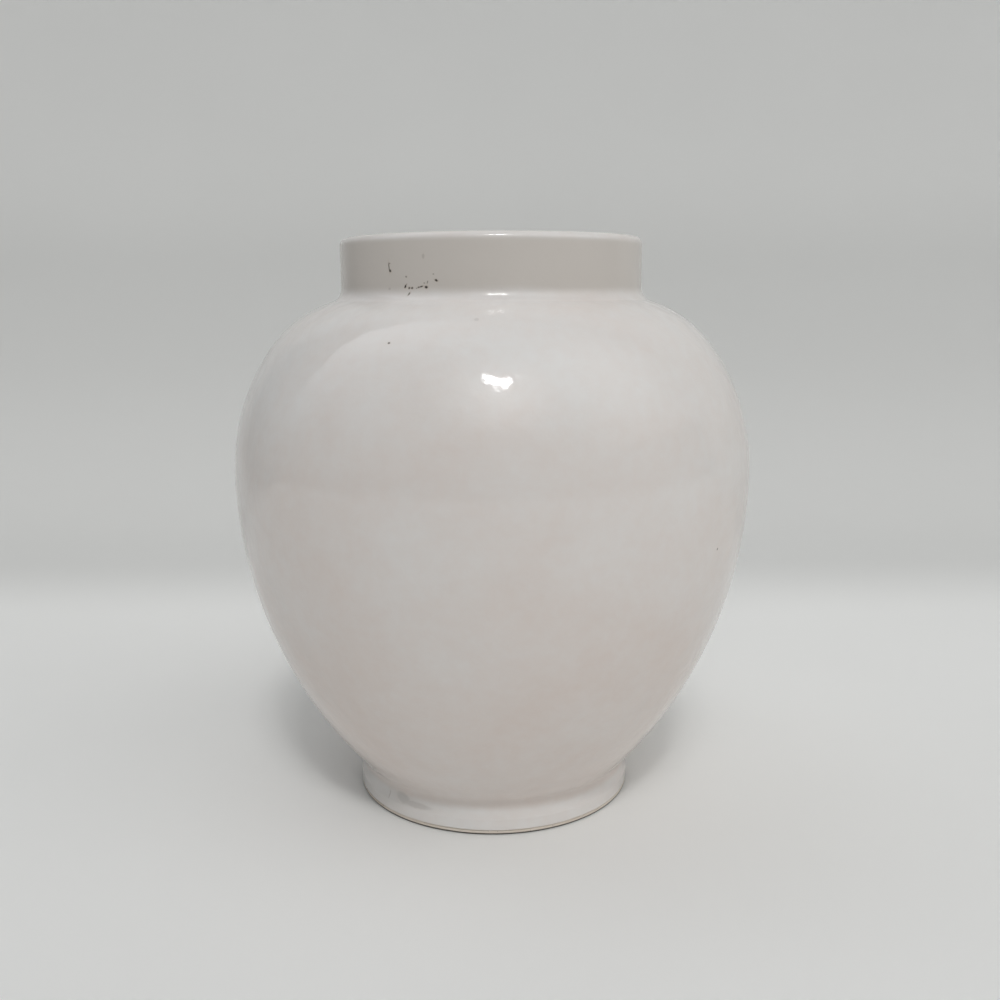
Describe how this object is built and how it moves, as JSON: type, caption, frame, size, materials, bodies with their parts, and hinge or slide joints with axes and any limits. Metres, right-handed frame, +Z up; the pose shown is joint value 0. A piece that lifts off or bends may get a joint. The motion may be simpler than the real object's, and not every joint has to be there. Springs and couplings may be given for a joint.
{
  "type": "ceramic vase",
  "caption": "Round-bellied glazed ceramic vase with a short upright collar, a rounded lip and a low flared foot ring; it stands on a table and holds water and stems.",
  "frame": {"origin": "middle of the foot ring's standing face, on the table", "axes": "+Z up along the axis that the vase is turned about; the pictured side faces -Y, with +X to its right"},
  "size_m": [0.186, 0.186, 0.203],
  "materials": {
    "outer_glaze": "glossy warm white glaze, faintly pink, with a few small dark flaws",
    "liner_glaze": "glossy warm white liner glaze",
    "recess_glaze": "thin glossy warm white glaze",
    "bare_clay": "matt fired clay, warm buff",
    "joint_slip": "matt fired slip, warm buff"
  },
  "bodies": {
    "root": {"foot_ring": "bare_clay", "foot_slip": "joint_slip", "belly": "bare_clay", "collar_slip": "joint_slip", "neck_collar": "bare_clay", "outer_glaze": "outer_glaze", "liner_glaze": "liner_glaze", "recess_glaze": "recess_glaze"}
  },
  "joints": []
}
